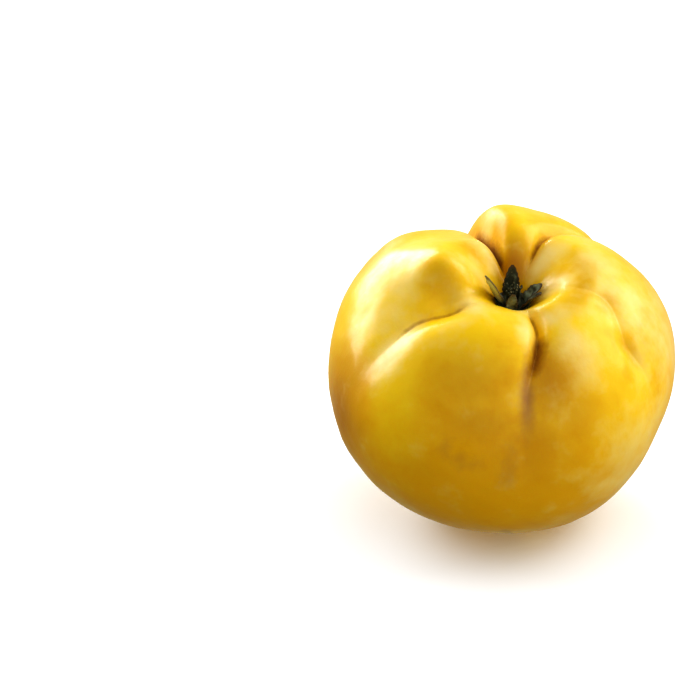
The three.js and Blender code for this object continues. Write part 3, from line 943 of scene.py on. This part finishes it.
def stem_finish():
    finish = Finish("stem_bark", BARK_CLOUDS, Roughness=0.8)
    colour, _ = finish.layered(BARK, BARK_LAYERS)
    return finish.dress(Base_Color=colour,
                        Normal=finish.relief(finish.clouds["grain"], distance=BARK_RELIEF))


piece_of("quince_stem", stem_shape(), stem_finish(), "stem")

# %% [markdown]
# ## The floor
# The quince stands on a plain pale surface, wide enough that its edge is never seen. White paper
# throws so much light back up that it would wash out the underside and the rims. So the paper is
# hidden from the light that falls on the fruit and from its gloss, and the sky's dim, warm lower
# half stands in for it.

# %% The floor
FLOOR_SIZE = 8.0
PAPER = dict(Base_Color=(0.93, 0.96, 1.0, 1), Roughness=0.8, Emission_Color=(1, 1, 1, 1),
             Emission_Strength=0.05)


def pale_floor():
    shape = bmesh.new()
    bmesh.ops.create_grid(shape, x_segments=1, y_segments=1, size=FLOOR_SIZE / 2)
    mesh = bpy.data.meshes.new("pale_floor")
    shape.to_mesh(mesh)
    shape.free()
    mesh.materials.append(Finish("pale_paper", **PAPER).owner)
    floor = bpy.data.objects.new("pale_floor", mesh)
    floor.visible_diffuse = False
    floor.visible_glossy = False
    bpy.context.scene.collection.objects.link(floor)
    return floor


floor = pale_floor()
print("floor:", FLOOR_SIZE, "m across")

# %% [markdown]
# ## Light
# Two soft boxes stand behind the fruit, one on each side, and low enough to graze it. They give
# the pale gleams on its shoulders and leave its front in a deeper, warmer tone. The sky fills in
# the rest. It is brighter towards a window side, on the right, and dimmer low on the left, and
# its foot is warm and dim.

# %% The soft boxes
CORE = Vector((0, 0, CORE_HEIGHT * MM))
SOFT_BOXES = (
    dict(name="left_box", azimuth=-134, rise=19, distance=0.9, size=(0.95, 0.40), power=7.2),
    dict(name="right_box", azimuth=112, rise=36, distance=1.0, size=(0.9, 0.7), power=4.5),
)


def toward(azimuth, rise):
    """A direction out from the fruit: azimuth 0 is in front of it and 90 is to its right."""
    flat = math.cos(math.radians(rise))
    turn = math.radians(azimuth)
    return Vector((math.sin(turn) * flat, -math.cos(turn) * flat, math.sin(math.radians(rise))))


def aimed(location, target, up):
    """Where a lamp or a camera stands, turned to look at a target with its top towards up."""
    backward = (location - target).normalized()
    right = up.cross(backward).normalized()
    turn = Matrix((right, backward.cross(right), backward)).transposed()
    return Matrix.LocRotScale(location, turn, None)


for box in SOFT_BOXES:
    lamp = bpy.data.lights.new(box["name"], "AREA")
    lamp.shape = "RECTANGLE"
    lamp.size, lamp.size_y = box["size"]
    lamp.energy = box["power"]
    holder = bpy.data.objects.new(box["name"], lamp)
    place = CORE + toward(box["azimuth"], box["rise"]) * box["distance"]
    holder.matrix_world = aimed(place, CORE, Vector((0, 0, 1)))
    bpy.context.scene.collection.objects.link(holder)
print("soft boxes:", [box["name"] for box in SOFT_BOXES])

# %% The sky
# Slopes are heights of a direction, from -1 straight down to 1 straight up.
SKY = dict(azimuth=75, rise=35, middle=0.49, difference=0.26)
SKY_FOOT = dict(warm_slope=(-0.6, 0.1), dim_slope=(-1, -0.7), least=0.4)
WHITE = (1, 1, 1, 1)
WARM = (1, 0.90, 0.64, 1)

sky = bpy.data.worlds.new("pale_sky")
light = Wiring(sky, "Background")
outward = light.node("ShaderNodeTexCoord", output="Generated")
window = toward(SKY["azimuth"], SKY["rise"])
settings = {"operation": "DOT_PRODUCT"}
facing = light.node("ShaderNodeVectorMath", settings, {0: outward, 1: window}, output="Value")
upward = light.node("ShaderNodeVectorMath", settings, {0: outward, 1: (0, 0, 1)}, output="Value")
colour = light.blend(upward.between(*SKY_FOOT["warm_slope"]), WARM, WHITE)
undimmed = upward.between(*SKY_FOOT["dim_slope"]) * (1 - SKY_FOOT["least"]) + SKY_FOOT["least"]
strength = (facing * SKY["difference"] + SKY["middle"]) * undimmed
light.dress(Color=colour, Strength=strength)
bpy.context.scene.world = sky
bpy.context.scene.view_settings.view_transform = "Standard"
bpy.context.scene.view_settings.look = "High Contrast"
print("a sky of about", SKY["middle"], "with a window side at", SKY["azimuth"], "degrees")

# %% [markdown]
# ## The camera
# A long lens looks down on the fruit from in front. Its frame is square, and the fruit sits to
# the right of the middle. Rather than shift the lens, the camera is turned to aim beside it.

# %% The camera
# The fruit's width in millimetres spans so many of the frame's pixels, which sets the frame's scale.
FRAME_PIXELS = 700
FRUIT_WIDTH = 95
FRUIT_WIDTH_PIXELS = 344.5
MM_PER_PIXEL = FRUIT_WIDTH / FRUIT_WIDTH_PIXELS
CORE_PIXEL = (502, 367.5)
CAMERA_RISE = 25
CAMERA_DISTANCE = 1.1
SENSOR_WIDTH = 36


def add_camera():
    back = toward(0, CAMERA_RISE)
    right = Vector((1, 0, 0))
    up = back.cross(right)
    pixel = MM_PER_PIXEL * MM
    across = (CORE_PIXEL[0] - FRAME_PIXELS / 2) * pixel
    down = (CORE_PIXEL[1] - FRAME_PIXELS / 2) * pixel
    camera = bpy.data.cameras.new("camera")
    camera.sensor_width = SENSOR_WIDTH
    camera.lens = SENSOR_WIDTH * CAMERA_DISTANCE / (pixel * FRAME_PIXELS)
    holder = bpy.data.objects.new("camera", camera)
    target = CORE - right * across + up * down
    holder.matrix_world = aimed(CORE + back * CAMERA_DISTANCE, target, up)
    bpy.context.scene.collection.objects.link(holder)
    bpy.context.scene.camera = holder
    print("camera with a", round(camera.lens), "mm lens,", CAMERA_DISTANCE, "m away")


add_camera()
